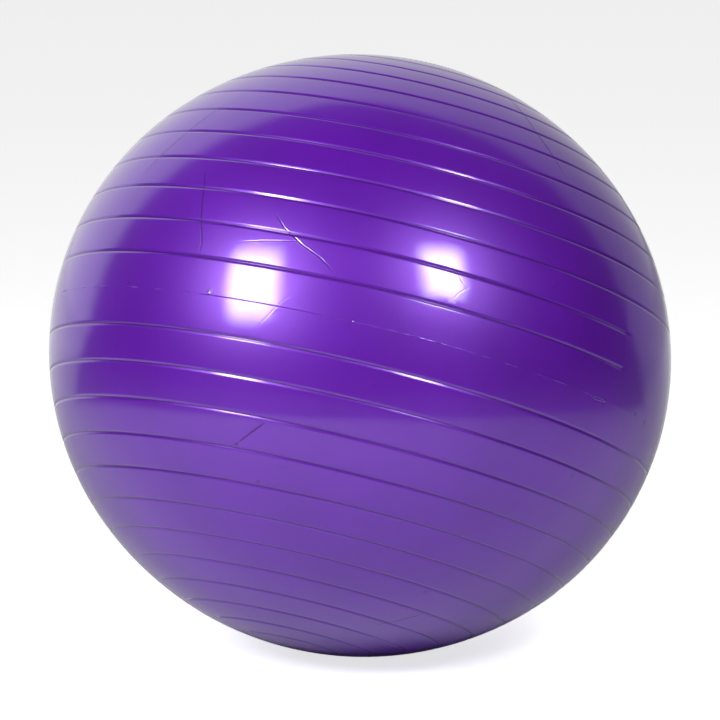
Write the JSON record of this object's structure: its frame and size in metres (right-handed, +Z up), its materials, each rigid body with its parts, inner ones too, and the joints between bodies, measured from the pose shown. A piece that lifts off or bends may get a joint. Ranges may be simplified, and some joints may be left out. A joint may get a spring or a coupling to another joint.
{
  "type": "exercise ball",
  "caption": "Inflatable exercise ball: hollow glossy vinyl skin with ring grooves, a smooth window, a moulded-in valve seat and a push-in plug",
  "frame": {"origin": "on the floor straight below the centre of the ball", "axes": "+Z up, +X to the viewer's right, -Y towards the viewer; the groove axis leans 22 degrees from +Z, towards 53 degrees from +X to +Y, and the valve looks along +X"},
  "size_m": [0.7488, 0.7478, 0.7241],
  "materials": {
    "ball_vinyl": "glossy purple soft vinyl with a faint pearl, sealed seam line",
    "seat_vinyl": "purple moulded soft vinyl, satin",
    "plug_plastic": "white moulded soft plastic"
  },
  "bodies": {
    "ball": {"ball_shell": "ball_vinyl", "valve_seat": "seat_vinyl"},
    "plug": {"valve_plug": "plug_plastic"}
  },
  "joints": [
    {"name": "plug_pull", "type": "slide", "parent": "ball", "child": "plug", "axis": [0.9893, 0.0581, -0.1337], "range_m": [0, 0.034]}
  ]
}
